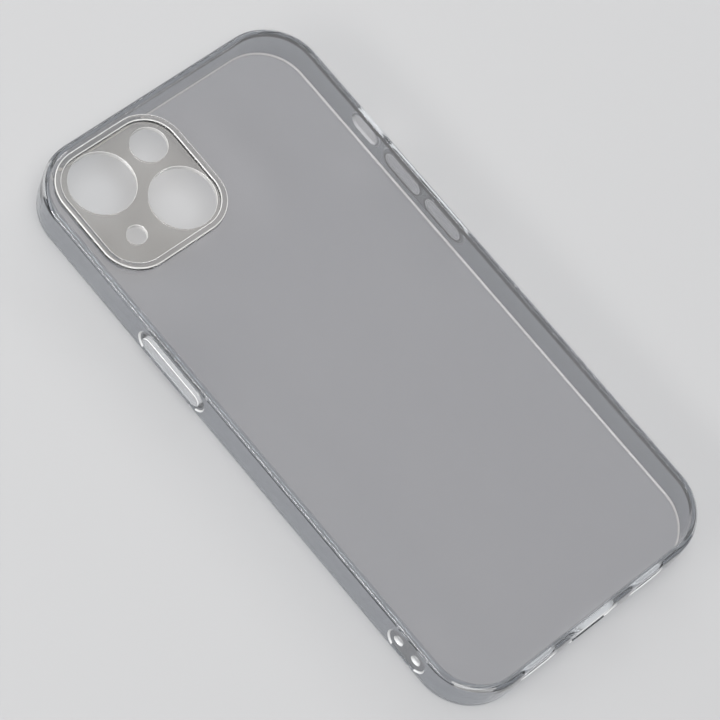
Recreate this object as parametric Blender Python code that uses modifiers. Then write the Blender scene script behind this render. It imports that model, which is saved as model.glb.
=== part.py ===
"""Clear two-shot phone case, lying on its front lip.

The origin is the centre of the case on the surface that the lip rests on. +X is to the right as the back
is looked at, +Y points to the camera end and +Z out of the back. All lengths are in metres.
"""

import math

import bmesh
import bpy

MM = 0.001

# The phone that the case holds, and the space kept round it
PHONE_WIDTH = 71.5 * MM
PHONE_LENGTH = 146.7 * MM
PHONE_THICKNESS = 7.65 * MM
PHONE_SIDE_SPACE = 0.1 * MM
PHONE_DEPTH_SPACE = 0.05 * MM

# Walls
WALL = 1.2 * MM
BACK = 1.3 * MM
LIP_HEIGHT = 1.1 * MM
LIP_REACH = 0.25 * MM
CORNER_RADIUS = 12.8 * MM
TOP_ROUNDING = 1.0 * MM
LIP_ROUNDING_IN = 0.8 * MM
LIP_ROUNDING_UP = 1.6 * MM
LIP_EDGE_EASE = 0.1 * MM
PIECE_GAP = 0.3 * MM

# Groove round the frame's wall, and the flange of the back panel that it holds
GROOVE_DEPTH = 0.5 * MM
FLANGE_THICKNESS = 0.5 * MM
RIM_THICKNESS = 0.3 * MM
PANEL_EDGE_EASE = 0.3 * MM

# Camera guard
GUARD_CENTRE = (-17.8 * MM, 56.4 * MM)
GUARD_WIDTH = 32.2 * MM
GUARD_LENGTH = 31.4 * MM
GUARD_RADIUS = 9.0 * MM
GUARD_WALL = 1.2 * MM
GUARD_RISE = 1.0 * MM
LENS_HOLE_RADIUS = 7.5 * MM
LENS_HOLES = ((-23.3 * MM, 62.8 * MM), (-11.0 * MM, 50.4 * MM))
FLASH_HOLE_RADIUS = 4.2 * MM
FLASH_HOLE = (-9.0 * MM, 64.4 * MM)
MICROPHONE_HOLE_RADIUS = 2.25 * MM
MICROPHONE_HOLE = (-24.9 * MM, 49.1 * MM)

# Buttons, which stand in windows in the long walls on thin webs
BUTTON_HEIGHT = 4.0 * MM
BUTTON_PROUD = 0.5 * MM
BUTTON_EDGE = 0.35 * MM
WEB_THICKNESS = 0.45 * MM
RECESS_DEPTH = 0.4 * MM
POWER_Y = 21.5 * MM
POWER_LENGTH = 18.6 * MM
POWER_WINDOW = (20.0 * MM, 6.0 * MM)
POWER_RECESS = (21.2 * MM, 7.4 * MM)
VOLUME_Y = 21.9 * MM
VOLUME_PITCH = 13.5 * MM
VOLUME_LENGTH = 11.3 * MM
VOLUME_WINDOW = (12.3 * MM, 5.4 * MM)
VOLUME_RECESS = (27.2 * MM, 6.6 * MM)

# Openings in the walls: length along the wall, then height
MUTE_Y = 41.8 * MM
MUTE_RECESS = (9.2 * MM, 5.6 * MM)
MUTE_SLOT = (7.8 * MM, 3.6 * MM)
PORT_RECESS = (13.8 * MM, 7.0 * MM)
PORT_OPENING = (12.6 * MM, 6.2 * MM)
SPEAKER_X = 16.0 * MM
SPEAKER_OPENING = (9.8 * MM, 4.6 * MM)
STRAP_Y = -55.4 * MM
STRAP_RECESS = (10.8 * MM, 7.4 * MM)
STRAP_HOLE_RADIUS = 1.15 * MM
STRAP_HOLE_PITCH = 5.4 * MM
STRAP_HOLE_Z = 4.7 * MM

CORNER_STEPS = 10
EDGE_STEPS = 4

# Worked out from the above
WIDTH = PHONE_WIDTH + 2 * (PHONE_SIDE_SPACE + WALL)
LENGTH = PHONE_LENGTH + 2 * (PHONE_SIDE_SPACE + WALL)
FLOOR_Z = LIP_HEIGHT + PHONE_THICKNESS + PHONE_DEPTH_SPACE
BACK_Z = FLOOR_Z + BACK
MIDDLE_Z = LIP_HEIGHT + PHONE_THICKNESS / 2
GROOVE_TOP = BACK_Z - RIM_THICKNESS
GROOVE_BOTTOM = GROOVE_TOP - FLANGE_THICKNESS - 2 * PIECE_GAP


def clear_scene():
    for old in list(bpy.data.objects):
        bpy.data.objects.remove(old, do_unlink=True)


def new_collection(name):
    made = bpy.data.collections.new(name)
    bpy.context.scene.collection.children.link(made)
    return made


def arc(centre, radius, start, end, steps):
    """Points on an arc, its angles in degrees; radius is a number or an (x, y) pair."""
    along, up = radius if isinstance(radius, tuple) else (radius, radius)
    angles = [math.radians(start + (end - start) * i / steps) for i in range(steps + 1)]
    return [(centre[0] + along * math.cos(a), centre[1] + up * math.sin(a)) for a in angles]


def rounded_rectangle(width, length, radius, steps=CORNER_STEPS, centre=(0, 0)):
    """Anticlockwise outline; a radius of half its smaller side makes a stadium."""
    x, y = width / 2 - radius, length / 2 - radius
    points = []
    for corner, (sx, sy) in enumerate(((1, 1), (-1, 1), (-1, -1), (1, -1))):
        middle = (centre[0] + sx * x, centre[1] + sy * y)
        for point in arc(middle, radius, 90 * corner, 90 * corner + 90, steps):
            if not points or math.dist(points[-1], point) > 1e-7:
                points.append(point)
    if math.dist(points[0], points[-1]) < 1e-7:
        points.pop()
    return points


def curve_of(name, outlines):
    curve = bpy.data.curves.new(name, "CURVE")
    curve.dimensions = "2D"
    for outline in outlines:
        spline = curve.splines.new("POLY")
        spline.points.add(len(outline) - 1)
        for point, (x, y) in zip(spline.points, outline):
            point.co = (x, y, 0, 1)
        spline.use_cyclic_u = True
    made = bpy.data.objects.new(name, curve)
    bpy.context.scene.collection.objects.link(made)
    return made


def mesh_from(curve_object, collection):
    """Turns a curve object into a mesh object of the same name and removes the curve."""
    name = curve_object.name
    curve_object.name = name + "_outline"
    bpy.context.view_layer.update()
    graph = bpy.context.evaluated_depsgraph_get()
    mesh = bpy.data.meshes.new_from_object(curve_object.evaluated_get(graph))
    mesh.name = name
    work = bmesh.new()
    work.from_mesh(mesh)
    bmesh.ops.remove_doubles(work, verts=work.verts, dist=1e-6)
    bmesh.ops.recalc_face_normals(work, faces=work.faces)
    work.to_mesh(mesh)
    work.free()
    made = bpy.data.objects.new(name, mesh)
    made.matrix_world = curve_object.matrix_world
    collection.objects.link(made)
    bpy.data.objects.remove(curve_object, do_unlink=True)
    return made


def plate(name, outlines, low, high, collection):
    """A flat piece from height low to height high; outlines after the first are holes."""
    flat = curve_of(name, outlines)
    flat.data.fill_mode = "BOTH"
    flat.data.extrude = (high - low) / 2
    flat.location.z = (high + low) / 2
    return mesh_from(flat, collection)


def sweep(name, path, profile, collection):
    """Carries a closed profile of (distance inside the path, height) points round a closed path."""
    section = curve_of(name + "_section", [profile])
    ring = curve_of(name, [path])
    ring.data.bevel_mode = "OBJECT"
    ring.data.bevel_object = section
    made = mesh_from(ring, collection)
    bpy.data.objects.remove(section, do_unlink=True)
    return made


def side_plate(name, size, centre, side, depth_range, collection):
    """A stadium standing in a wall. side is the wall's outward direction, and depth_range is its distance
    from the middle of the case along it; size is length along the wall, then height."""
    length, height = size
    near, far = depth_range
    flat = curve_of(name, [rounded_rectangle(length, height, height / 2 - 1e-6)])
    flat.data.fill_mode = "BOTH"
    flat.data.extrude = (far - near) / 2
    turn = math.atan2(side[0], -side[1])
    flat.rotation_euler = (math.pi / 2, 0, turn)
    middle = (near + far) / 2
    flat.location = (
        side[0] * middle + centre[0] * abs(side[1]),
        side[1] * middle + centre[0] * abs(side[0]),
        centre[1],
    )
    return mesh_from(flat, collection)


def cut(target, cutter):
    cutter.hide_render = True
    cutter.display_type = "WIRE"
    boolean = target.modifiers.new("cut_" + cutter.name, "BOOLEAN")
    boolean.operation = "DIFFERENCE"
    boolean.object = cutter


def join(target, other):
    other.hide_render = True
    other.display_type = "WIRE"
    boolean = target.modifiers.new("join_" + other.name, "BOOLEAN")
    boolean.operation = "UNION"
    boolean.object = other


def round_edges(target, width, segments):
    bevel = target.modifiers.new("rounding", "BEVEL")
    bevel.width = width
    bevel.segments = segments
    bevel.limit_method = "ANGLE"
    bevel.angle_limit = math.radians(50)


def shade_round(target):
    target.data.shade_smooth()
    target.data.set_sharp_from_angle(angle=math.radians(35))


def material(name, colour, roughness):
    made = bpy.data.materials.new(name)
    made.use_nodes = True
    principled = made.node_tree.nodes["Principled BSDF"]
    principled.inputs["Base Color"].default_value = (*colour, 1)
    principled.inputs["Roughness"].default_value = roughness
    principled.inputs["Metallic"].default_value = 0
    principled.inputs["Transmission Weight"].default_value = 0.9
    principled.inputs["IOR"].default_value = 1.5
    return made


def frame_profile():
    """The frame's section as (distance inside the outer wall, height), lip at the bottom."""
    inner = WALL + LIP_REACH
    points = [(LIP_ROUNDING_IN, 0)]
    points += [(inner - LIP_EDGE_EASE, 0), (inner, LIP_EDGE_EASE)]
    points += [(inner, LIP_HEIGHT), (WALL, LIP_HEIGHT)]
    points += [(WALL, GROOVE_BOTTOM), (WALL - GROOVE_DEPTH, GROOVE_BOTTOM)]
    points += [(WALL - GROOVE_DEPTH, GROOVE_TOP), (WALL, GROOVE_TOP), (WALL, BACK_Z)]
    top_centre = (TOP_ROUNDING, BACK_Z - TOP_ROUNDING)
    points += arc(top_centre, TOP_ROUNDING, 90, 180, EDGE_STEPS)
    lip_centre = (LIP_ROUNDING_IN, LIP_ROUNDING_UP)
    lip_arc = arc(lip_centre, (LIP_ROUNDING_IN, LIP_ROUNDING_UP), 180, 270, EDGE_STEPS)
    return points + lip_arc[:-1]


def guard_profile():
    """The guard ring's section, its top edges rounded over."""
    top = BACK_Z + GUARD_RISE
    radius = GUARD_WALL / 2
    points = [(0, FLOOR_Z), (GUARD_WALL, FLOOR_Z)]
    return points + arc((radius, top - radius), radius, 0, 180, 2 * EDGE_STEPS)


def build_frame(parts, cutters):
    outer = rounded_rectangle(WIDTH, LENGTH, CORNER_RADIUS)
    frame = sweep("bumper_frame", outer, frame_profile(), parts)
    left, right, bottom = (-1, 0), (1, 0), (0, -1)
    wall_x, wall_y = WIDTH / 2, LENGTH / 2

    def opening(name, size, centre, side, wall, depth=3 * WALL):
        span = (wall - depth, wall + WALL)
        cut(frame, side_plate(name, size, centre, side, span, cutters))

    opening("mute_recess", MUTE_RECESS, (MUTE_Y, MIDDLE_Z), right, wall_x, RECESS_DEPTH)
    opening("mute_slot", MUTE_SLOT, (MUTE_Y, MIDDLE_Z), right, wall_x)
    opening("volume_recess", VOLUME_RECESS, (VOLUME_Y, MIDDLE_Z), right, wall_x, RECESS_DEPTH)
    for name, offset in (("volume_up_window", 0.5), ("volume_down_window", -0.5)):
        centre = (VOLUME_Y + offset * VOLUME_PITCH, MIDDLE_Z)
        opening(name, VOLUME_WINDOW, centre, right, wall_x)
    opening("power_recess", POWER_RECESS, (POWER_Y, MIDDLE_Z), left, wall_x, RECESS_DEPTH)
    opening("power_window", POWER_WINDOW, (POWER_Y, MIDDLE_Z), left, wall_x)
    opening("strap_recess", STRAP_RECESS, (STRAP_Y, MIDDLE_Z), left, wall_x, RECESS_DEPTH)
    strap_hole = (2 * STRAP_HOLE_RADIUS, 2 * STRAP_HOLE_RADIUS)
    for name, offset in (("strap_hole_upper", 0.5), ("strap_hole_lower", -0.5)):
        centre = (STRAP_Y + offset * STRAP_HOLE_PITCH, STRAP_HOLE_Z)
        opening(name, strap_hole, centre, left, wall_x)
    opening("port_recess", PORT_RECESS, (0, MIDDLE_Z), bottom, wall_y, RECESS_DEPTH)
    opening("port_opening", PORT_OPENING, (0, MIDDLE_Z), bottom, wall_y)
    for name, x in (("speaker_opening", SPEAKER_X), ("microphone_opening", -SPEAKER_X)):
        opening(name, SPEAKER_OPENING, (x, MIDDLE_Z), bottom, wall_y)
    return frame


def build_panel(parts, cutters):
    inset = WALL + PIECE_GAP
    core = rounded_rectangle(WIDTH - 2 * inset, LENGTH - 2 * inset, CORNER_RADIUS - inset)
    panel = plate("back_panel", [core], FLOOR_Z, BACK_Z, parts)
    round_edges(panel, PANEL_EDGE_EASE, 2)
    reach = WALL - GROOVE_DEPTH + PIECE_GAP
    rim = rounded_rectangle(WIDTH - 2 * reach, LENGTH - 2 * reach, CORNER_RADIUS - reach)
    flange_low = GROOVE_BOTTOM + PIECE_GAP
    join(panel, plate("panel_flange", [rim], flange_low, flange_low + FLANGE_THICKNESS, cutters))
    window = rounded_rectangle(
        GUARD_WIDTH + 2 * PIECE_GAP,
        GUARD_LENGTH + 2 * PIECE_GAP,
        GUARD_RADIUS + PIECE_GAP,
        centre=GUARD_CENTRE,
    )
    cut(panel, plate("camera_window", [window], FLOOR_Z - BACK, BACK_Z + BACK, cutters))
    return panel


def build_guard(parts):
    outer = rounded_rectangle(GUARD_WIDTH, GUARD_LENGTH, GUARD_RADIUS)
    ring = sweep("camera_guard_ring", outer, guard_profile(), parts)
    ring.location = (*GUARD_CENTRE, 0)
    inset = GUARD_WALL + PIECE_GAP
    outline = rounded_rectangle(
        GUARD_WIDTH - 2 * inset,
        GUARD_LENGTH - 2 * inset,
        GUARD_RADIUS - inset,
        centre=GUARD_CENTRE,
    )
    holes = [(centre, LENS_HOLE_RADIUS, 10) for centre in LENS_HOLES]
    holes += [(FLASH_HOLE, FLASH_HOLE_RADIUS, 7), (MICROPHONE_HOLE, MICROPHONE_HOLE_RADIUS, 5)]
    circles = [arc(centre, radius, 0, 360, 4 * steps)[:-1] for centre, radius, steps in holes]
    return ring, plate("camera_plate", [outline] + circles, FLOOR_Z, BACK_Z, parts)


def build_button(name, length, window, y, side, parts):
    """A button pad and the web that carries it, the pad's origin at its middle on the press axis."""
    inner = WIDTH / 2 - WALL
    web_span = (inner, inner + WEB_THICKNESS)
    pad_span = (web_span[1] + PIECE_GAP, WIDTH / 2 + BUTTON_PROUD)
    web_size = (window[0] - 2 * PIECE_GAP, window[1] - 2 * PIECE_GAP)
    web = side_plate(name + "_web", web_size, (y, MIDDLE_Z), side, web_span, parts)
    pad = side_plate(name + "_button", (length, BUTTON_HEIGHT), (y, MIDDLE_Z), side, pad_span, parts)
    round_edges(pad, BUTTON_EDGE, 2)
    return pad, web


def main():
    clear_scene()
    parts = new_collection("phone_case")
    cutters = new_collection("cutters")
    soft_clear = material("clear_soft_wall", (0.86, 0.87, 0.88), 0.08)
    hard_clear = material("clear_hard_back", (0.84, 0.84, 0.86), 0.05)
    guard_clear = material("clear_guard", (0.86, 0.85, 0.83), 0.06)
    web_clear = material("clear_web", (0.80, 0.81, 0.82), 0.15)

    frame = build_frame(parts, cutters)
    panel = build_panel(parts, cutters)
    ring, camera_plate = build_guard(parts)
    finishes = [(frame, soft_clear), (panel, hard_clear), (ring, guard_clear), (camera_plate, guard_clear)]
    half_pitch = VOLUME_PITCH / 2
    buttons = (
        ("power", POWER_LENGTH, POWER_WINDOW, POWER_Y, (-1, 0)),
        ("volume_up", VOLUME_LENGTH, VOLUME_WINDOW, VOLUME_Y + half_pitch, (1, 0)),
        ("volume_down", VOLUME_LENGTH, VOLUME_WINDOW, VOLUME_Y - half_pitch, (1, 0)),
    )
    for name, length, window, y, side in buttons:
        pad, web = build_button(name, length, window, y, side, parts)
        pad.parent = frame
        web.parent = frame
        finishes += [(pad, soft_clear), (web, web_clear)]
    for inner_piece in (panel, ring, camera_plate):
        inner_piece.parent = frame
    for piece, finish in finishes:
        piece.data.materials.append(finish)
        shade_round(piece)


main()
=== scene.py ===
import math

import bmesh
import bpy
from mathutils import Matrix, Vector


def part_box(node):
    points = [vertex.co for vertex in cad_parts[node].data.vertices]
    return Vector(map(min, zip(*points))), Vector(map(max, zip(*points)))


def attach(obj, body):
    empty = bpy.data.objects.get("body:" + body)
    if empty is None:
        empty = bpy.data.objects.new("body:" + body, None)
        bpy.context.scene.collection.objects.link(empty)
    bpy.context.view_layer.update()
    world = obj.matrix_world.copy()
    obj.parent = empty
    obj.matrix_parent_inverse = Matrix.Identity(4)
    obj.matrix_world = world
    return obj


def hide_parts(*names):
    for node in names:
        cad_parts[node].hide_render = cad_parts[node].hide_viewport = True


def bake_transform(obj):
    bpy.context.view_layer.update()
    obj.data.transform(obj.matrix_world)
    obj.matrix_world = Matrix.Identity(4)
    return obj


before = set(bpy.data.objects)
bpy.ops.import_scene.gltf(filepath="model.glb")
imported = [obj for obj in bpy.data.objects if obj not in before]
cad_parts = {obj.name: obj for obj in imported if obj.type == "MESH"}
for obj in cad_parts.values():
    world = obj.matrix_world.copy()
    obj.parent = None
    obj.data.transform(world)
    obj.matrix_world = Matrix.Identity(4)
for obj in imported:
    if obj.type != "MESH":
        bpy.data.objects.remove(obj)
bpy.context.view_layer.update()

mm = 0.001
print("frame loaded:", len(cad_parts), "nodes")

# the case's own planes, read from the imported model
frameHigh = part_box("bumper_frame")[1]
halfWidth = frameHigh.x
halfLength = frameHigh.y
backZ = frameHigh.z
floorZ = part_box("back_panel")[0].z
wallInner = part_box("power_web")[1].x
wallThick = halfWidth + wallInner
cornerRadius = 12.8 * mm
cornerSteps = 28
fineGap = 0.02 * mm      # what is left between two shots of plastic
cutPast = 1 * mm         # how far a cutter runs past the face that it opens
weldGap = 1e-7           # points closer than this are one point


def newObject(name, data):
    made = bpy.data.objects.new(name, data)
    bpy.context.scene.collection.objects.link(made)
    return made


# outlines, lofts and cuts

def roundedOutline(halfX, halfY, radius, centre=(0, 0), steps=cornerSteps):
    # anticlockwise, the same number of points whatever the size
    points = []
    for turn, (sx, sy) in enumerate(((1, 1), (-1, 1), (-1, -1), (1, -1))):
        for step in range(steps + 1):
            angle = math.radians(90 * turn + 90 * step / steps)
            points.append((centre[0] + sx * (halfX - radius) + radius * math.cos(angle),
                           centre[1] + sy * (halfY - radius) + radius * math.sin(angle)))
    return points


def arcOf(centre, radius, start, end, steps):
    # points on an arc, its angles in degrees; radius is a number or an (across, up) pair
    across, up = radius if isinstance(radius, tuple) else (radius, radius)
    angles = [math.radians(start + (end - start) * i / steps) for i in range(steps + 1)]
    return [(centre[0] + across * math.cos(a), centre[1] + up * math.sin(a)) for a in angles]


def ringAt(inset, z, halfX, halfY, radius, centre=(0, 0)):
    # a level ring round a rounded rectangle, drawn in by the inset
    outline = roundedOutline(halfX - inset, halfY - inset, radius - inset, centre)
    return [(x, y, z) for x, y in outline]


def meshOf(name, bm):
    bmesh.ops.remove_doubles(bm, verts=bm.verts, dist=weldGap)
    bmesh.ops.recalc_face_normals(bm, faces=bm.faces)
    mesh = bpy.data.meshes.new(name)
    bm.to_mesh(mesh)
    bm.free()
    return mesh


def loft(name, rings, tube=False):
    # skins a list of rings of the same length; a tube joins the last ring to the first
    bm = bmesh.new()
    rows = [[bm.verts.new(point) for point in ring] for ring in rings]
    pairs = list(zip(rows, rows[1:] + (rows[:1] if tube else [])))
    for row, other in pairs:
        for i in range(len(row)):
            j = (i + 1) % len(row)
            bm.faces.new((row[i], row[j], other[j], other[i]))
    if not tube:
        bm.faces.new(reversed(rows[0]))
        bm.faces.new(rows[-1])
    return newObject(name, meshOf(name, bm))


def sweptWall(name, section, halfX, halfY, radius, centre=(0, 0)):
    # a closed section of (inset, height) points carried round a rounded rectangle
    rings = [ringAt(inset, z, halfX, halfY, radius, centre) for inset, z in section]
    return loft(name, rings, tube=True)


def onWall(side, u, v, w):
    # u runs along the wall, v up it, and w out of its outer face
    if side == "left":
        return (-halfWidth - w, u, v)
    if side == "right":
        return (halfWidth + w, u, v)
    return (u, -halfLength - w, v)


def slotSolid(name, side, centre, stations, steps=12):
    # stations are (half length, half height, w); ends are round
    rings = []
    for halfU, halfV, w in stations:
        outline = roundedOutline(halfU, halfV, min(halfU, halfV), centre, steps)
        rings.append([onWall(side, u, v, w) for u, v in outline])
    return loft(name, rings)


def flare(half, w, size, outward=True, steps=4):
    # stations that turn a slot's straight side into a rounded mouth at height w
    if outward:
        arc = arcOf((size, w - size), size, 180, 90, steps)
    else:
        arc = arcOf((size, w + size), size, 270, 180, steps)
    return [(half[0] + grow, half[1] + grow, at) for grow, at in arc]


def roundHole(name, centre, radius, top, bottom, mouth, foot, steps=64):
    # a cutter for a hole along Z, opened out into a fillet at both faces
    stations = [(radius + foot, bottom - cutPast)]
    stations += arcOf((radius + foot, bottom + foot), foot, 270, 180, 5)
    stations += arcOf((radius + mouth, top - mouth), mouth, 180, 90, 7)
    stations += [(radius + mouth, top + cutPast)]
    rings = []
    for reach, z in stations:
        circle = arcOf(centre, reach, 0, 360, steps)[:-1]
        rings.append([(x, y, z) for x, y in circle])
    return loft(name, rings)


def applyModifiers(piece):
    depsgraph = bpy.context.evaluated_depsgraph_get()
    mesh = bpy.data.meshes.new_from_object(piece.evaluated_get(depsgraph))
    piece.modifiers.clear()
    piece.data = mesh


def cutAway(piece, cutters):
    for cutter in cutters:
        carve = piece.modifiers.new(cutter.name, "BOOLEAN")
        carve.object = cutter
        carve.operation = "DIFFERENCE"
        carve.solver = "EXACT"
    bpy.context.view_layer.update()
    applyModifiers(piece)
    for cutter in cutters:
        bpy.data.objects.remove(cutter, do_unlink=True)


def finishShape(piece, angle=32):
    # smooth over the fillets, flat on the flats
    mesh = piece.data
    bm = bmesh.new()
    bm.from_mesh(mesh)
    bmesh.ops.remove_doubles(bm, verts=bm.verts, dist=2 * weldGap)
    bmesh.ops.dissolve_degenerate(bm, edges=bm.edges, dist=weldGap)
    bm.to_mesh(mesh)
    bm.free()
    mesh.shade_smooth()
    mesh.set_sharp_from_angle(angle=math.radians(angle))
    even = piece.modifiers.new("even", "WEIGHTED_NORMAL")
    even.keep_sharp = True
    even.weight = 100


# shared surface effects

def newGroup(name, inputs, outputs):
    group = bpy.data.node_groups.new(name, "ShaderNodeTree")
    for label, kind, value in inputs:
        socket = group.interface.new_socket(name=label, in_out="INPUT", socket_type=kind)
        socket.default_value = value
    for label, kind in outputs:
        group.interface.new_socket(name=label, in_out="OUTPUT", socket_type=kind)
    return group, group.nodes.new("NodeGroupInput"), group.nodes.new("NodeGroupOutput")


def node(tree, kind, **values):
    made = tree.nodes.new(kind)
    for key, value in values.items():
        setattr(made, key, value)
    return made


def mathNode(tree, operation, first, second):
    made = node(tree, "ShaderNodeMath", operation=operation)
    for socket, value in zip(made.inputs, (first, second)):
        if isinstance(value, (int, float)):
            socket.default_value = value
        else:
            tree.links.new(value, socket)
    return made.outputs[0]


hazeForm = {"smearDetail": 4, "swirl": 1.2, "smearFrom": 0.42, "smearTo": 0.72, "smearShare": 0.8,
            "grainDetail": 2, "grainShare": 0.4}
rippleDetail = 1.0
insideFacing = -0.9      # faces that look down more than this are inside the back


def buildHaze():
    # fine uneven haze and wiped smears, as a roughness that starts from Base
    group, given, out = newGroup(
        "handledHaze",
        [("Smear Scale", "NodeSocketFloat", 40.0), ("Grain Scale", "NodeSocketFloat", 900.0),
         ("Base", "NodeSocketFloat", 0.03), ("Spread", "NodeSocketFloat", 0.04)],
        [("Roughness", "NodeSocketFloat")])
    place = node(group, "ShaderNodeTexCoord")
    smear = node(group, "ShaderNodeTexNoise")
    smear.inputs["Detail"].default_value = hazeForm["smearDetail"]
    smear.inputs["Distortion"].default_value = hazeForm["swirl"]
    grain = node(group, "ShaderNodeTexNoise")
    grain.inputs["Detail"].default_value = hazeForm["grainDetail"]
    links = group.links
    for tex, label in ((smear, "Smear Scale"), (grain, "Grain Scale")):
        links.new(place.outputs["Object"], tex.inputs["Vector"])
        links.new(given.outputs[label], tex.inputs["Scale"])
    ramp = node(group, "ShaderNodeMapRange")
    links.new(smear.outputs["Fac"], ramp.inputs["Value"])
    ramp.inputs["From Min"].default_value = hazeForm["smearFrom"]
    ramp.inputs["From Max"].default_value = hazeForm["smearTo"]
    smears = mathNode(group, "MULTIPLY", ramp.outputs["Result"], hazeForm["smearShare"])
    grains = mathNode(group, "MULTIPLY", grain.outputs["Fac"], hazeForm["grainShare"])
    spread = mathNode(group, "MULTIPLY", mathNode(group, "ADD", smears, grains), given.outputs["Spread"])
    links.new(mathNode(group, "ADD", spread, given.outputs["Base"]), out.inputs["Roughness"])
    return group


def buildDots():
    # the grid of fine moulded dots inside the back, as a bump height
    group, given, out = newGroup(
        "contactDots",
        [("Pitch", "NodeSocketFloat", 0.0004), ("Size", "NodeSocketFloat", 0.3)],
        [("Height", "NodeSocketFloat")])
    links = group.links
    place = node(group, "ShaderNodeTexCoord")
    shrink = node(group, "ShaderNodeVectorMath", operation="DIVIDE")
    links.new(place.outputs["Object"], shrink.inputs[0])
    links.new(given.outputs["Pitch"], shrink.inputs[1])
    cell = node(group, "ShaderNodeVectorMath", operation="FRACTION")
    links.new(shrink.outputs[0], cell.inputs[0])
    centred = node(group, "ShaderNodeVectorMath", operation="SUBTRACT")
    links.new(cell.outputs[0], centred.inputs[0])
    centred.inputs[1].default_value = (0.5, 0.5, 0.5)
    flat = node(group, "ShaderNodeVectorMath", operation="MULTIPLY")
    links.new(centred.outputs[0], flat.inputs[0])
    flat.inputs[1].default_value = (1, 1, 0)
    far = node(group, "ShaderNodeVectorMath", operation="LENGTH")
    links.new(flat.outputs[0], far.inputs[0])
    dome = node(group, "ShaderNodeMapRange", interpolation_type="SMOOTHSTEP")
    links.new(far.outputs["Value"], dome.inputs["Value"])
    links.new(given.outputs["Size"], dome.inputs["From Min"])
    dome.inputs["From Max"].default_value = 0.0
    geometry = node(group, "ShaderNodeNewGeometry")
    parts = node(group, "ShaderNodeSeparateXYZ")
    links.new(geometry.outputs["True Normal"], parts.inputs[0])
    inside = mathNode(group, "LESS_THAN", parts.outputs["Z"], insideFacing)
    links.new(mathNode(group, "MULTIPLY", dome.outputs["Result"], inside), out.inputs["Height"])
    return group


def buildRipple():
    # the slow unevenness of a moulded face, as a bump height
    group, given, out = newGroup(
        "mouldRipple",
        [("Scale", "NodeSocketFloat", 45.0), ("Fine Scale", "NodeSocketFloat", 700.0),
         ("Fine Share", "NodeSocketFloat", 0.01)],
        [("Height", "NodeSocketFloat")])
    links = group.links
    place = node(group, "ShaderNodeTexCoord")
    slow = node(group, "ShaderNodeTexNoise")
    fine = node(group, "ShaderNodeTexNoise")
    for tex, label in ((slow, "Scale"), (fine, "Fine Scale")):
        tex.inputs["Detail"].default_value = rippleDetail
        links.new(place.outputs["Object"], tex.inputs["Vector"])
        links.new(given.outputs[label], tex.inputs["Scale"])
    small = mathNode(group, "MULTIPLY", fine.outputs["Fac"], given.outputs["Fine Share"])
    links.new(mathNode(group, "ADD", slow.outputs["Fac"], small), out.inputs["Height"])
    return group


hazeGroup = buildHaze()
dotsGroup = buildDots()
rippleGroup = buildRipple()

moulding = {"toneScale": 35, "rippleHeight": 0.2 * mm, "dotHeight": 0.03 * mm}


def clearPlastic(name, look):
    # clear plastic that lets lamps through to what lies behind it
    made = bpy.data.materials.new(name)
    made.use_nodes = True
    tree = made.node_tree
    tree.nodes.clear()
    links = tree.links
    shader = node(tree, "ShaderNodeBsdfPrincipled")
    shader.inputs["Transmission Weight"].default_value = 1.0 - look["veil"]
    shader.inputs["IOR"].default_value = look["ior"]
    shader.inputs["Metallic"].default_value = 0.0
    tone = node(tree, "ShaderNodeTexNoise")
    tone.inputs["Scale"].default_value = moulding["toneScale"]
    place = node(tree, "ShaderNodeTexCoord")
    links.new(place.outputs["Object"], tone.inputs["Vector"])
    blendTone = node(tree, "ShaderNodeMix", data_type="RGBA")
    links.new(tone.outputs["Fac"], blendTone.inputs["Factor"])
    blendTone.inputs["A"].default_value = (*look["colour"], 1)
    blendTone.inputs["B"].default_value = (*look["deep"], 1)
    links.new(blendTone.outputs["Result"], shader.inputs["Base Color"])

    haze = node(tree, "ShaderNodeGroup", node_tree=hazeGroup)
    haze.inputs["Base"].default_value = look["rough"]
    haze.inputs["Spread"].default_value = look["haze"]
    links.new(haze.outputs["Roughness"], shader.inputs["Roughness"])

    ripple = node(tree, "ShaderNodeGroup", node_tree=rippleGroup)
    wave = node(tree, "ShaderNodeBump")
    wave.inputs["Strength"].default_value = look["ripple"]
    wave.inputs["Distance"].default_value = moulding["rippleHeight"]
    links.new(ripple.outputs["Height"], wave.inputs["Height"])
    last = wave
    if look.get("dots"):
        dots = node(tree, "ShaderNodeGroup", node_tree=dotsGroup)
        dots.inputs["Pitch"].default_value = look["dotPitch"]
        raised = node(tree, "ShaderNodeBump")
        raised.inputs["Strength"].default_value = look["dots"]
        raised.inputs["Distance"].default_value = moulding["dotHeight"]
        links.new(dots.outputs["Height"], raised.inputs["Height"])
        links.new(wave.outputs["Normal"], raised.inputs["Normal"])
        last = raised
    links.new(last.outputs["Normal"], shader.inputs["Normal"])

    lamp = node(tree, "ShaderNodeBsdfTransparent")
    lamp.inputs["Color"].default_value = (*look["shade"], 1)
    path = node(tree, "ShaderNodeLightPath")
    either = mathNode(tree, "MAXIMUM", path.outputs["Is Shadow Ray"], path.outputs["Is Diffuse Ray"])
    mix = node(tree, "ShaderNodeMixShader")
    links.new(either, mix.inputs[0])
    links.new(shader.outputs["BSDF"], mix.inputs[1])
    links.new(lamp.outputs["BSDF"], mix.inputs[2])
    out = node(tree, "ShaderNodeOutputMaterial")
    links.new(mix.outputs["Shader"], out.inputs["Surface"])
    return made


def dress(piece, *finishNames, choose=None):
    # the whole piece takes the first finish, unless choose names each face's own
    mesh = piece.data
    mesh.materials.clear()
    for name in finishNames:
        mesh.materials.append(materials[name])
    for face in mesh.polygons:
        face.material_index = finishNames.index(choose(face)) if choose else 0


# camera, floor and light

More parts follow.
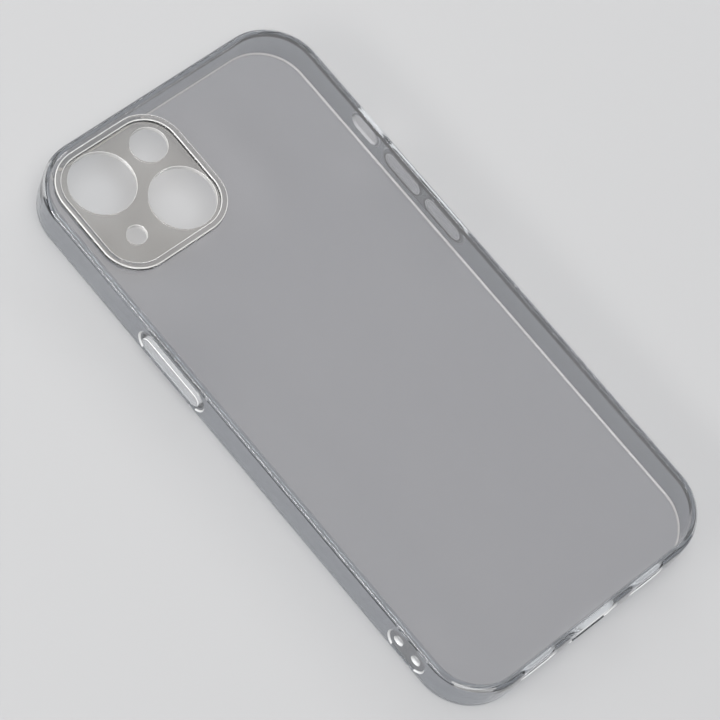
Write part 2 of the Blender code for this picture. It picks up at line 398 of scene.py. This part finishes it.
camera = {
    "lens": 168.73,
    "sensor": 36,
    "nearest": 0.01,
    "place": (-0.31896, -0.13115, 0.63758),
    "right": (0.73314, -0.63802, 0.23545),
    "up": (0.51770, 0.74809, 0.41514),
}

studio = {
    "floorColour": (0.40, 0.40, 0.404),
    "floorSize": 9.0,
    "floorRough": 0.9,
    "floorGloss": 0.1,
    "world": (0.022, 0.024, 0.027),
    "sky": {"azimuth": 215, "elevation": 78, "strength": 3.3, "spread": 50},
    # distance, azimuth, elevation, width, height, power
    "lights": {
        "mirrored": (1.1, 22, 61.5, 1.1, 0.9, 2.8),
        "left": (1.0, 168, 27, 0.7, 0.16, 6.5),
        "back": (1.1, 38, 29, 1.3, 0.15, 5.5),
    },
}


def placeCamera():
    data = bpy.data.cameras.new("camera")
    data.lens = camera["lens"]
    data.sensor_width = camera["sensor"]
    data.clip_start = camera["nearest"]
    shot = newObject("camera", data)
    right, up = Vector(camera["right"]).normalized(), Vector(camera["up"]).normalized()
    away = right.cross(up).normalized()
    up = away.cross(right)
    turn = Matrix((right, up, away)).transposed().to_4x4()
    shot.matrix_world = Matrix.Translation(camera["place"]) @ turn
    bpy.context.scene.camera = shot


def hang(data, distance, azimuth, elevation):
    # a lamp that looks at the case from the given direction, in degrees
    lamp = newObject(data.name, data)
    a, e = math.radians(azimuth), math.radians(elevation)
    way = Vector((math.cos(e) * math.cos(a), math.cos(e) * math.sin(a), math.sin(e)))
    lamp.location = Vector((0, 0, backZ)) + way * distance
    lamp.rotation_euler = way.to_track_quat("Z", "Y").to_euler()
    return lamp


def placeStudio():
    half = studio["floorSize"] / 2
    bm = bmesh.new()
    bmesh.ops.create_grid(bm, x_segments=1, y_segments=1, size=half)
    floor = newObject("studioFloor", meshOf("studioFloor", bm))
    paint = bpy.data.materials.new("paleFloor")
    paint.use_nodes = True
    shader = paint.node_tree.nodes["Principled BSDF"]
    shader.inputs["Base Color"].default_value = (*studio["floorColour"], 1)
    shader.inputs["Roughness"].default_value = studio["floorRough"]
    shader.inputs["Specular IOR Level"].default_value = studio["floorGloss"]
    floor.data.materials.append(paint)

    world = bpy.data.worlds.new("studio")
    world.use_nodes = True
    world.node_tree.nodes["Background"].inputs["Color"].default_value = (*studio["world"], 1)
    bpy.context.scene.world = world

    sky = studio["sky"]
    data = bpy.data.lights.new("sky", "SUN")
    data.energy = sky["strength"]
    data.angle = math.radians(sky["spread"])
    fill = hang(data, 1.0, sky["azimuth"], sky["elevation"])
    fill.visible_glossy = False          # an even fill, with no disc to mirror in the flat back
    fill.visible_transmission = False
    for name, (distance, azimuth, elevation, width, height, power) in studio["lights"].items():
        data = bpy.data.lights.new(name, "AREA")
        data.shape = "RECTANGLE"
        data.size = width
        data.size_y = height
        data.energy = power
        hang(data, distance, azimuth, elevation)
    view = bpy.context.scene.view_settings
    view.view_transform = "Standard"
    view.look = "None"


placeCamera()
placeStudio()
print("camera, floor and light placed")


# finishes

finishes = {
    "softWall": {"colour": (0.54, 0.56, 0.585), "deep": (0.51, 0.53, 0.56), "shade": (0.80, 0.81, 0.82),
                 "ior": 1.47, "veil": 0.02, "rough": 0.01, "haze": 0.03, "ripple": 0.02},
    "hardBack": {"colour": (0.61, 0.61, 0.62), "deep": (0.59, 0.59, 0.605), "shade": (0.82, 0.82, 0.83),
                 "ior": 1.52, "veil": 0.04, "rough": 0.01, "haze": 0.03, "ripple": 0.015, "dots": 0.25,
                 "dotPitch": 0.45 * mm},
    "guardRing": {"colour": (0.62, 0.61, 0.60), "deep": (0.60, 0.59, 0.58), "shade": (0.80, 0.80, 0.79),
                  "ior": 1.47, "veil": 0.03, "rough": 0.01, "haze": 0.02, "ripple": 0.005},
    "shadedSeam": {"colour": (0.30, 0.305, 0.31), "deep": (0.27, 0.275, 0.28), "shade": (0.80, 0.80, 0.80),
                   "ior": 1.47, "veil": 0.05, "rough": 0.05, "haze": 0.02, "ripple": 0.005},
    "cameraPlate": {"colour": (0.61, 0.60, 0.58), "deep": (0.59, 0.58, 0.56), "shade": (0.82, 0.81, 0.80),
                    "ior": 1.50, "veil": 0.04, "rough": 0.02, "haze": 0.03, "ripple": 0.015},
    "buttonPad": {"colour": (0.84, 0.845, 0.85), "deep": (0.81, 0.82, 0.83), "shade": (0.82, 0.83, 0.84),
                  "ior": 1.47, "veil": 0.11, "rough": 0.09, "haze": 0.03, "ripple": 0.02},
    "buttonWeb": {"colour": (0.90, 0.90, 0.90), "deep": (0.87, 0.875, 0.88), "shade": (0.82, 0.83, 0.84),
                  "ior": 1.47, "veil": 0.22, "rough": 0.06, "haze": 0.03, "ripple": 0.02},
    # painted highlights: the small bevels of slots, rims, the guard and the lip take a pale diffuse veil
    # that stands in for the light they catch
    "paintedSlotHighlight": {"colour": (0.97, 0.97, 0.96), "deep": (0.94, 0.94, 0.94), "shade": (0.88, 0.88, 0.88),
                 "ior": 1.47, "veil": 0.68, "rough": 0.08, "haze": 0.03, "ripple": 0.02},
    "paintedRimHighlight": {"colour": (0.97, 0.96, 0.94), "deep": (0.94, 0.93, 0.91), "shade": (0.9, 0.9, 0.9),
                "ior": 1.47, "veil": 0.55, "rough": 0.10, "haze": 0.04, "ripple": 0.03},
    "seamFace": {"colour": (0.88, 0.88, 0.87), "deep": (0.85, 0.85, 0.85), "shade": (0.86, 0.86, 0.86),
                 "ior": 1.47, "veil": 0.25, "rough": 0.06, "haze": 0.03, "ripple": 0.01},
    # painted highlight: a warm white veil on the lip's bead stands in for the light refracted through the
    # lip
    "lipBead": {"colour": (1.0, 0.97, 0.92), "deep": (0.97, 0.93, 0.87), "shade": (0.9, 0.9, 0.9),
                "ior": 1.47, "veil": 0.7, "rough": 0.10, "haze": 0.04, "ripple": 0.03},
}
materials = {name: clearPlastic(name, look) for name, look in finishes.items()}
print("finishes made:", len(materials))


# soft wall

wall = {
    "backRounding": 1.0 * mm,
    "seamInset": 1.5 * mm,       # where the hard back starts, on the outer face
    "seamFoot": 1.8 * mm,        # and on the inner face
    "seamEase": 0.07 * mm,
    "innerFillet": 0.6 * mm,
    "lipIn": 0.8 * mm,
    "lipUp": 1.6 * mm,
    "lipReach": 0.42 * mm,
    "lipBead": 0.33 * mm,        # the sloping inner face of the lip
    "lipTop": 1.1 * mm,
    "lipToe": 0.2 * mm,          # the rounding of the lip's inner bottom edge
    "lipEase": 0.02 * mm,
    "draft": 0.06 * mm,
    "parting": 5.0 * mm,         # the faint ridge where the mould's halves met
    "partingStep": 0.02 * mm,
    "partingReach": 0.12 * mm,
}


def wallSection():
    back, seam, foot, ease = wall["backRounding"], wall["seamInset"], wall["seamFoot"], wall["seamEase"]
    draft, inner = wall["draft"], wall["innerFillet"]
    points = arcOf((wall["lipIn"], wall["lipUp"]), (wall["lipIn"] - draft, wall["lipUp"]), 270, 180, 8)
    parting, step, reach = wall["parting"], wall["partingStep"], wall["partingReach"]
    points += [(step, parting - reach), (0.0, parting), (step, parting + reach)]
    points += arcOf((back, backZ - back), (back - draft, back), 180, 90, 8)
    points += arcOf((seam - ease, backZ - ease), ease, 90, 0, 3)
    points += [(foot, floorZ)]
    points += arcOf((wallThick + inner, floorZ - inner), inner, 90, 180, 6)
    lipEdge = wallThick + wall["lipReach"]
    bead, toe, soft = wall["lipBead"], wall["lipToe"], wall["lipEase"]
    points += [(wallThick, wall["lipTop"] + toe), (wallThick + 2 * soft, wall["lipTop"])]
    points += [(lipEdge - bead - soft, 2 * bead), (lipEdge - bead, 1.9 * bead)]
    points += [(lipEdge - 1.5 * soft, 0.9 * bead), (lipEdge, 0.8 * bead)]
    points += arcOf((lipEdge - toe, toe), toe, 0, -90, 4)
    return points


# openings: u is the place along the wall, sizes are (length, height), an easing is (outside, inside)
power = {"u": 21.5 * mm, "pad": 18.6 * mm, "window": (20.0 * mm, 6.0 * mm), "recess": (21.2 * mm, 7.4 * mm),
         "mouth": 0.38 * mm}
volume = {"u": 21.9 * mm, "pitch": 13.5 * mm, "pad": 11.3 * mm, "window": (12.3 * mm, 5.4 * mm),
          "recess": (27.2 * mm, 6.6 * mm), "mouth": 0.38 * mm}
mute = {"u": 41.8 * mm, "recess": (9.2 * mm, 5.6 * mm), "mouth": 0.3 * mm, "slot": (7.8 * mm, 3.6 * mm),
        "easing": (0.2 * mm, 0.2 * mm)}
port = {"u": 0.0, "recess": (13.8 * mm, 7.0 * mm), "mouth": 0.3 * mm, "slot": (12.6 * mm, 6.2 * mm),
        "easing": (0.25 * mm, 0.25 * mm)}
speaker = {"u": 16.0 * mm, "slot": (9.8 * mm, 4.6 * mm), "easing": (0.3 * mm, 0.2 * mm)}
strap = {"u": -55.4 * mm, "recess": (10.8 * mm, 7.4 * mm), "mouth": 0.38 * mm, "hole": 1.15 * mm,
         "pitch": 5.4 * mm, "z": 4.7 * mm, "easing": (0.25 * mm, 0.2 * mm)}
windowEasing = (0.05 * mm, 0.02 * mm)
middleZ = (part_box("power_button")[0].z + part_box("power_button")[1].z) / 2
recessDepth = 0.4 * mm
recessFloor = {"inset": 0.1 * mm, "ease": 0.03 * mm}

# which of the wall's faces take a finish of their own; a facing is how squarely a face looks outward
wallZones = {
    "slack": 0.02 * mm,
    "lipHeights": (0.2 * mm, 0.75 * mm),
    "lipFacing": 0.3,                # of the lip's bead, upward
    "belowBack": 0.1 * mm,
    "sideStraight": 62 * mm,         # how far the walls run straight, from their middles
    "endStraight": 24 * mm,
    "openingHeights": (1.7 * mm, 8.6 * mm),
    "flatFacing": 0.93,
    "ledgeNear": 0.05 * mm,
    "volumeReach": 14.4 * mm,        # half the length of the volume buttons' recess, with its mouth
    "endBevelFacing": 0.12,
}


def halfOf(size):
    return size[0] / 2, size[1] / 2


def recessCutter(name, side, shape):
    half, mouth = halfOf(shape["recess"]), shape["mouth"]
    inset, ease = recessFloor["inset"], recessFloor["ease"]
    stations = [(half[0] - inset, half[1] - inset, -recessDepth)]
    stations += [(half[0] - ease, half[1] - ease, -recessDepth + ease)]
    stations += flare(half, 0, mouth)
    stations += [(half[0] + mouth, half[1] + mouth, cutPast)]
    return slotSolid(name, side, (shape["u"], middleZ), stations)


def windowCutter(name, side, u, size, easing, top=-recessDepth, z=middleZ):
    half = halfOf(size)
    outer, inner = easing
    stations = [(half[0] + inner, half[1] + inner, -wallThick - cutPast)]
    stations += flare(half, -wallThick, inner, outward=False)
    stations += flare(half, top, outer)
    stations += [(half[0] + outer, half[1] + outer, top + cutPast)]
    return slotSolid(name, side, (u, z), stations)


def buildWall():
    piece = sweptWall("softWall", wallSection(), halfWidth, halfLength, cornerRadius)
    cutAway(piece, [
        recessCutter("powerRecess", "left", power),
        recessCutter("volumeRecess", "right", volume),
        recessCutter("muteRecess", "right", mute),
        recessCutter("strapRecess", "left", strap),
        recessCutter("portRecess", "bottom", port),
    ])
    half = volume["pitch"] / 2
    strapHole = (2 * strap["hole"], 2 * strap["hole"])
    through = [
        windowCutter("powerWindow", "left", power["u"], power["window"], windowEasing),
        windowCutter("volumeUpWindow", "right", volume["u"] + half, volume["window"], windowEasing),
        windowCutter("volumeDownWindow", "right", volume["u"] - half, volume["window"], windowEasing),
        windowCutter("muteSlot", "right", mute["u"], mute["slot"], mute["easing"]),
        windowCutter("portSlot", "bottom", port["u"], port["slot"], port["easing"]),
    ]
    for sign in (-1, 1):
        through.append(windowCutter("soundSlot", "bottom", sign * speaker["u"], speaker["slot"],
                                    speaker["easing"], top=0))
        through.append(windowCutter("strapHole", "left", strap["u"] + sign * strap["pitch"] / 2, strapHole,
                                    strap["easing"], z=strap["z"]))
    cutAway(piece, through)
    finishShape(piece)

    def faceKind(face):
        zones, centre, normal = wallZones, face.center, face.normal
        innerFace = wallThick + zones["slack"]
        acrossX, acrossY = halfWidth - abs(centre.x), halfLength - abs(centre.y)
        across = min(acrossX, acrossY)
        low, high = zones["lipHeights"]
        # the lip's bead takes its painted highlight
        if innerFace < across and low < centre.z < high and normal.z > zones["lipFacing"]:
            return "lipBead"
        if across > wall["seamInset"] - zones["slack"] and floorZ < centre.z < backZ - zones["belowBack"]:
            return "seamFace"
        onSide = acrossX < acrossY
        along, out = (centre.y, abs(normal.x)) if onSide else (centre.x, abs(normal.y))
        clearOfCorner = abs(along) < zones["sideStraight" if onSide else "endStraight"]
        low, high = zones["openingHeights"]
        if not (clearOfCorner and low < centre.z < high and across < innerFace):
            return "softWall"
        if out > zones["flatFacing"]:
            return "shadedSeam" if abs(across - recessDepth) < zones["ledgeNear"] else "softWall"
        if onSide and across > recessDepth and abs(along - volume["u"]) < zones["volumeReach"]:
            return "shadedSeam"
        # the bevels of the openings take the painted highlight
        return "paintedSlotHighlight" if onSide or out > zones["endBevelFacing"] else "softWall"

    dress(piece, "softWall", "paintedSlotHighlight", "lipBead", "shadedSeam", "seamFace", choose=faceKind)
    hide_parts("bumper_frame")
    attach(piece, "case_body")


# hard back

guard = {
    "centre": (-17.8 * mm, 56.4 * mm),
    "half": (16.1 * mm, 15.7 * mm),
    "radius": 9.0 * mm,
    "wall": 1.5 * mm,
    "top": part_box("camera_guard_ring")[1].z,
    "outerEdge": 0.4 * mm,
    "innerEdge": 0.35 * mm,
    "shoulder": 0.36 * mm,           # how far down the painted highlight on the shoulders reaches
    "shoulderFacing": (0.35, 0.94),
    "uprightFacing": 0.2,
}


def buildBack():
    ease = wall["seamEase"]
    outer = [(wall["seamFoot"], floorZ)]
    outer += arcOf((wall["seamInset"] + ease, backZ - ease), ease, 180, 90, 3)
    window = arcOf((fineGap + ease, backZ - ease), ease, 90, 180, 3)
    window += [(fineGap, floorZ)]
    rings = [ringAt(inset + fineGap, z, halfWidth, halfLength, cornerRadius) for inset, z in outer]
    rings += [ringAt(-grow, z, *guard["half"], guard["radius"], guard["centre"]) for grow, z in window]
    piece = loft("hardBack", rings, tube=True)
    finishShape(piece)
    dress(piece, "hardBack")
    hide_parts("back_panel")
    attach(piece, "case_body")


# camera guard and plate

holes = {
    "lens": {"radius": 7.5 * mm, "at": ((-23.3 * mm, 62.8 * mm), (-11.0 * mm, 50.4 * mm))},
    "flash": {"radius": 4.2 * mm, "at": ((-9.0 * mm, 64.4 * mm),)},
    "microphone": {"radius": 2.25 * mm, "at": ((-24.9 * mm, 49.1 * mm),)},
}
holeRim = {"mouth": 0.25 * mm, "foot": 0.12 * mm, "reach": 0.12 * mm, "facing": 0.75}
plateEase = 0.05 * mm


def buildGuard():
    top, width = guard["top"], guard["wall"]
    outer, inner = guard["outerEdge"], guard["innerEdge"]
    section = [(0, floorZ), (0, backZ)]
    section += arcOf((outer, top - outer), outer, 180, 90, 8)
    section += arcOf((width - inner, top - inner), inner, 90, 0, 8)
    section += [(width, backZ), (width, floorZ)]
    piece = sweptWall("guardRing", section, *guard["half"], guard["radius"], guard["centre"])
    finishShape(piece)

    # painted highlight on the ring's rounded shoulders, painted shade on its upright foot
    def ringFace(face):
        height, facing = face.center.z, abs(face.normal.z)
        low, high = guard["shoulderFacing"]
        if height > top - guard["shoulder"] and low < facing < high:
            return "paintedRimHighlight"
        return "shadedSeam" if facing < guard["uprightFacing"] and height < top - outer else "guardRing"

    dress(piece, "guardRing", "paintedRimHighlight", "shadedSeam", choose=ringFace)
    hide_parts("camera_guard_ring")
    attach(piece, "case_body")


def buildPlate():
    inset = guard["wall"] + fineGap
    section = [(0, floorZ)] + arcOf((plateEase, backZ - plateEase), plateEase, 180, 90, 3)
    rings = [ringAt(inset + shrink, z, *guard["half"], guard["radius"], guard["centre"])
             for shrink, z in section]
    piece = loft("cameraPlate", rings)
    cutters = []
    for name, hole in holes.items():
        for at in hole["at"]:
            cutters.append(roundHole(name + "Hole", at, hole["radius"], backZ, floorZ,
                                     holeRim["mouth"], holeRim["foot"]))
    cutAway(piece, cutters)
    finishShape(piece)
    rims = [(at, hole["radius"] + holeRim["reach"]) for hole in holes.values() for at in hole["at"]]

    # painted highlight on the walls of the holes' rims
    def onRim(face):
        nearHole = any(math.dist(face.center[:2], at) < reach for at, reach in rims)
        return "paintedRimHighlight" if nearHole and abs(face.normal.z) < holeRim["facing"] else "cameraPlate"

    dress(piece, "cameraPlate", "paintedRimHighlight", choose=onRim)
    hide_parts("camera_plate")
    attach(piece, "case_body")


# buttons and the webs that carry them

buttonForm = {
    "halfHeight": 2.0 * mm,
    "edge": 0.35 * mm,
    "edgeFacing": (0.4, 0.85),
    "crown": 0.12 * mm,
    "crownRings": (0.75, 0.5, 0.25, 0.05),
    "crownFill": 0.9,            # the share of the crown's height that its middle reaches
    "web": 0.45 * mm,
    "webPlay": 0.03 * mm,
    "webRings": (0.33, 0.67),    # between the window's edge and the pad
    "outline": 0.18 * mm,        # the width of the painted highlight round the pad's foot
    "blendEnd": 0.98,
}


def buildPad(name, side, u, length, bodyName, nodeName):
    proud = -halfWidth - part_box("power_button")[0].x
    foot = -(wallThick - buttonForm["web"]) + fineGap
    edge, crown = buttonForm["edge"], buttonForm["crown"]
    halfU, halfV = length / 2, buttonForm["halfHeight"]
    stations = [(halfU, halfV, foot)]
    for across, up in arcOf((-edge, proud - crown - edge), edge, 0, 80, 6):
        stations.append((halfU + across, halfV + across, up))
    # the crown closes in towards the middle of the pad
    last = stations[-1]
    for share in buttonForm["crownRings"]:
        lift = crown * (1 - share ** 2) * buttonForm["crownFill"]
        stations.append((halfU - halfV + last[1] * share, last[1] * share, last[2] + lift))
    piece = slotSolid(name, side, (u, middleZ), stations, steps=14)
    finishShape(piece)

    # painted highlight on the pad's rounded edge
    def onEdge(face):
        low, high = buttonForm["edgeFacing"]
        return "paintedSlotHighlight" if low < abs(face.normal.x) < high else "buttonPad"

    dress(piece, "buttonPad", "paintedSlotHighlight", choose=onEdge)
    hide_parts(nodeName)
    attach(piece, bodyName)


def buildWeb(name, side, u, length, window, nodeName):
    # two halves of one thin web, each held by the wall at its window's edge and by the pad at its middle
    halfU, halfV = (half - buttonForm["webPlay"] for half in halfOf(window))
    padV = buttonForm["halfHeight"]
    spine, padSpine = halfU - halfV, length / 2 - padV
    insideOutline = padV - buttonForm["outline"]
    top, bottom = -(wallThick - buttonForm["web"]), -wallThick
    lines = [(halfV, spine)]
    for share in buttonForm["webRings"]:
        lines.append((halfV + (padV - halfV) * share, spine + (padSpine - spine) * share))
    lines += [(reach, padSpine) for reach in (padV, insideOutline, padV / 2, 0)]

    # painted shade outside the pad, a painted highlight ring round its foot
    def zone(face):
        along = max(abs(face.center.y - u) - padSpine, 0)
        far = math.hypot(along, face.center.z - middleZ)
        if far > padV:
            return "shadedSeam"
        return "paintedSlotHighlight" if far > insideOutline else "buttonWeb"

    for sign, label in ((1, "Upper"), (-1, "Lower")):
        bm = bmesh.new()
        sheets = []
        for w in (bottom, top):
            rows = []
            for reach, end in lines:
                arc = arcOf((end, 0), reach, 0, 90, 16) + arcOf((-end, 0), reach, 90, 180, 16)
                rows.append([bm.verts.new(onWall(side, u + x, middleZ + sign * v, w)) for x, v in arc])
            for row, other in zip(rows, rows[1:]):
                for i in range(len(row) - 1):
                    bm.faces.new((row[i], row[i + 1], other[i + 1], other[i]))
            sheets.append(rows)
        # close the sheet round its outer edge and along the cut between the halves
        low, high = sheets
        for i in range(len(low[0]) - 1):
            bm.faces.new((low[0][i], low[0][i + 1], high[0][i + 1], high[0][i]))
        for i in range(len(lines) - 1):
            for tip in (0, -1):
                bm.faces.new((low[i][tip], low[i + 1][tip], high[i + 1][tip], high[i][tip]))
        bm.faces.new((low[-1][0], low[-1][-1], high[-1][-1], high[-1][0]))
        piece = newObject(name + label, meshOf(name + label, bm))
        finishShape(piece)
        dress(piece, "buttonWeb", "paintedSlotHighlight", "shadedSeam", choose=zone)
        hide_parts(nodeName)
        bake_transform(piece)


buildWall()
print("soft wall made")
buildBack()
buildGuard()
buildPlate()
print("back, guard and plate made")
for label, side, u, size, window in (
        ("power", "left", power["u"], power["pad"], power["window"]),
        ("volume_up", "right", volume["u"] + volume["pitch"] / 2, volume["pad"], volume["window"]),
        ("volume_down", "right", volume["u"] - volume["pitch"] / 2, volume["pad"], volume["window"])):
    plain = label.title().replace("_", "")
    buildPad("pad" + plain, side, u, size, label + "_pad", label + "_button")
    buildWeb("web" + plain, side, u, size, window, label + "_web")
print("buttons and webs made")
